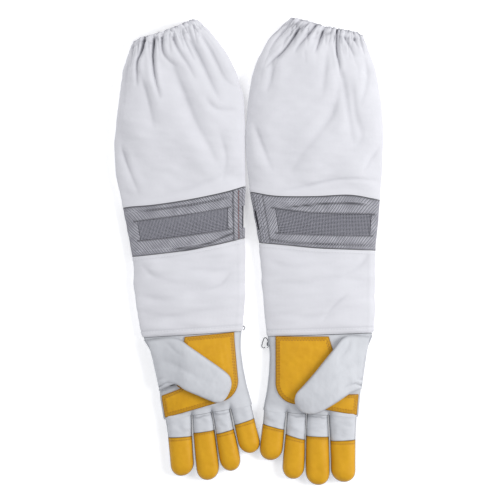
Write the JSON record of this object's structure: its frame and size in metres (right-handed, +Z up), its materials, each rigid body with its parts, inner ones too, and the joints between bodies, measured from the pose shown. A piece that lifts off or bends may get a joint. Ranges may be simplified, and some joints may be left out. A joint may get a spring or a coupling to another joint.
{
  "type": "beekeeping gloves",
  "caption": "Pair of beekeeping gauntlet gloves: leather hands with a thumb and four fingers, canvas sleeves with a mesh vent band and elastic cuffs.",
  "frame": {"origin": "middle of the pair's footprint, on the surface it lies on", "axes": "+Z up, +Y from the fingers to the cuffs, +X towards the left-hand glove's side; the palms face +Z"},
  "size_m": [0.3096, 0.5366, 0.0337],
  "materials": {
    "canvas": "matt plain-weave cotton canvas",
    "netting": "doubled grey netting",
    "dark_netting": "fine grey netting, open",
    "white_leather": "smooth matt white leather",
    "yellow_leather": "smooth golden yellow leather",
    "elastic": "woven elastic band",
    "steel": "bent wire and crimped strip"
  },
  "bodies": {
    "left_forearm": {"left_lower_sleeve": "canvas", "left_vent_frame": "netting", "left_vent_mesh": "dark_netting", "left_vent_seam_tape": "netting"},
    "left_upper": {"left_upper_sleeve": "canvas", "left_cuff_hem": "canvas", "left_cuff_elastic": "elastic"},
    "left_hand": {"left_palm_panel": "white_leather", "left_hand_back": "white_leather", "left_palm_patch": "yellow_leather", "left_hook_tab": "steel"},
    "left_thumb": {"left_thumb_outer": "white_leather", "left_thumb_under": "white_leather"},
    "left_index_base": {"left_index_stall": "white_leather"},
    "left_index_end": {"left_index_tip": "yellow_leather", "left_index_back": "white_leather"},
    "left_middle_base": {"left_middle_stall": "white_leather"},
    "left_middle_end": {"left_middle_tip": "yellow_leather", "left_middle_back": "white_leather"},
    "left_ring_base": {"left_ring_stall": "white_leather"},
    "left_ring_end": {"left_ring_tip": "yellow_leather", "left_ring_back": "white_leather"},
    "left_little_base": {"left_little_stall": "white_leather"},
    "left_little_end": {"left_little_tip": "yellow_leather", "left_little_back": "white_leather"},
    "right_forearm": {"right_lower_sleeve": "canvas", "right_vent_frame": "netting", "right_vent_mesh": "dark_netting", "right_vent_seam_tape": "netting", "right_pair_eye": "steel"},
    "right_upper": {"right_upper_sleeve": "canvas", "right_cuff_hem": "canvas", "right_cuff_elastic": "elastic"},
    "right_hand": {"right_palm_panel": "white_leather", "right_hand_back": "white_leather", "right_palm_patch": "yellow_leather"},
    "right_thumb": {"right_thumb_outer": "white_leather", "right_thumb_under": "white_leather"},
    "right_index_base": {"right_index_stall": "white_leather"},
    "right_index_end": {"right_index_tip": "yellow_leather", "right_index_back": "white_leather"},
    "right_middle_base": {"right_middle_stall": "white_leather"},
    "right_middle_end": {"right_middle_tip": "yellow_leather", "right_middle_back": "white_leather"},
    "right_ring_base": {"right_ring_stall": "white_leather"},
    "right_ring_end": {"right_ring_tip": "yellow_leather", "right_ring_back": "white_leather"},
    "right_little_base": {"right_little_stall": "white_leather"},
    "right_little_end": {"right_little_tip": "yellow_leather", "right_little_back": "white_leather"},
    "left_hook": {"left_pair_hook": "steel"}
  },
  "joints": [
    {"name": "pair_apart", "type": "slide", "parent": "left_forearm", "child": "right_forearm", "axis": [-1, 0, 0], "range_m": [0, 0.2]},
    {"name": "left_sleeve_fold", "type": "hinge", "parent": "left_forearm", "child": "left_upper", "pos_m": [0.07809, 0.06237, 0.0183], "axis": [0.9974, -0.0715, 0], "range_deg": [0, 105]},
    {"name": "left_wrist", "type": "hinge", "parent": "left_forearm", "child": "left_hand", "pos_m": [0.08436, -0.09651, 0.0163], "axis": [-0.9995, -0.0332, 0], "range_deg": [0, 60]},
    {"name": "left_thumb_root", "type": "hinge", "parent": "left_hand", "child": "left_thumb", "pos_m": [0.13382, -0.13451, 0.0108], "axis": [0.1491, 0.9888, 0], "range_deg": [0, 135]},
    {"name": "left_index_knuckle", "type": "hinge", "parent": "left_hand", "child": "left_index_base", "pos_m": [0.10947, -0.19002, 0.0158], "axis": [-0.9976, 0.0698, 0], "range_deg": [0, 85]},
    {"name": "left_index_middle", "type": "hinge", "parent": "left_index_base", "child": "left_index_end", "pos_m": [0.10979, -0.21752, 0.0158], "axis": [-0.9976, 0.0698, 0], "range_deg": [0, 90]},
    {"name": "left_middle_knuckle", "type": "hinge", "parent": "left_hand", "child": "left_middle_base", "pos_m": [0.08094, -0.18802, 0.0158], "axis": [-0.9976, 0.0698, 0], "range_deg": [0, 85]},
    {"name": "left_middle_middle", "type": "hinge", "parent": "left_middle_base", "child": "left_middle_end", "pos_m": [0.08113, -0.21302, 0.0158], "axis": [-0.9976, 0.0698, 0], "range_deg": [0, 90]},
    {"name": "left_ring_knuckle", "type": "hinge", "parent": "left_hand", "child": "left_ring_base", "pos_m": [0.0579, -0.18641, 0.0158], "axis": [-0.9976, 0.0698, 0], "range_deg": [0, 85]},
    {"name": "left_ring_middle", "type": "hinge", "parent": "left_ring_base", "child": "left_ring_end", "pos_m": [0.05625, -0.21386, 0.0158], "axis": [-0.9976, 0.0698, 0], "range_deg": [0, 90]},
    {"name": "left_little_knuckle", "type": "hinge", "parent": "left_hand", "child": "left_little_base", "pos_m": [0.03366, -0.18472, 0.0158], "axis": [-0.9976, 0.0698, 0], "range_deg": [0, 85]},
    {"name": "left_little_middle", "type": "hinge", "parent": "left_little_base", "child": "left_little_end", "pos_m": [0.03182, -0.20212, 0.0158], "axis": [-0.9976, 0.0698, 0], "range_deg": [0, 90]},
    {"name": "right_sleeve_fold", "type": "hinge", "parent": "right_forearm", "child": "right_upper", "pos_m": [-0.0737, 0.06223, 0.0183], "axis": [0.9857, 0.1685, 0], "range_deg": [0, 105]},
    {"name": "right_wrist", "type": "hinge", "parent": "right_forearm", "child": "right_hand", "pos_m": [-0.06444, -0.09651, 0.0163], "axis": [-0.9979, -0.0645, 0], "range_deg": [0, 60]},
    {"name": "right_thumb_root", "type": "hinge", "parent": "right_hand", "child": "right_thumb", "pos_m": [-0.11018, -0.13891, 0.0108], "axis": [0.2398, -0.9708, 0], "range_deg": [0, 135]},
    {"name": "right_index_knuckle", "type": "hinge", "parent": "right_hand", "child": "right_index_base", "pos_m": [-0.08081, -0.19194, 0.0158], "axis": [-0.9869, -0.1616, 0], "range_deg": [0, 85]},
    {"name": "right_index_middle", "type": "hinge", "parent": "right_index_base", "child": "right_index_end", "pos_m": [-0.07874, -0.21384, 0.0158], "axis": [-0.9869, -0.1616, 0], "range_deg": [0, 90]},
    {"name": "right_middle_knuckle", "type": "hinge", "parent": "right_hand", "child": "right_middle_base", "pos_m": [-0.05258, -0.18732, 0.0158], "axis": [-0.9869, -0.1616, 0], "range_deg": [0, 85]},
    {"name": "right_middle_middle", "type": "hinge", "parent": "right_middle_base", "child": "right_middle_end", "pos_m": [-0.05022, -0.20768, 0.0158], "axis": [-0.9869, -0.1616, 0], "range_deg": [0, 90]},
    {"name": "right_ring_knuckle", "type": "hinge", "parent": "right_hand", "child": "right_ring_base", "pos_m": [-0.02979, -0.18358, 0.0158], "axis": [-0.9869, -0.1616, 0], "range_deg": [0, 85]},
    {"name": "right_ring_middle", "type": "hinge", "parent": "right_ring_base", "child": "right_ring_end", "pos_m": [-0.02513, -0.20764, 0.0158], "axis": [-0.9869, -0.1616, 0], "range_deg": [0, 90]},
    {"name": "right_little_knuckle", "type": "hinge", "parent": "right_hand", "child": "right_little_base", "pos_m": [-0.00581, -0.17966, 0.0158], "axis": [-0.9869, -0.1616, 0], "range_deg": [0, 85]},
    {"name": "right_little_middle", "type": "hinge", "parent": "right_little_base", "child": "right_little_end", "pos_m": [-0.00208, -0.19624, 0.0158], "axis": [-0.9869, -0.1616, 0], "range_deg": [0, 90]},
    {"name": "left_hook_swing", "type": "hinge", "parent": "left_hand", "child": "left_hook", "pos_m": [0.02563, -0.10751, 0.00713], "axis": [0, 1, 0], "range_deg": [-25, 90]}
  ]
}
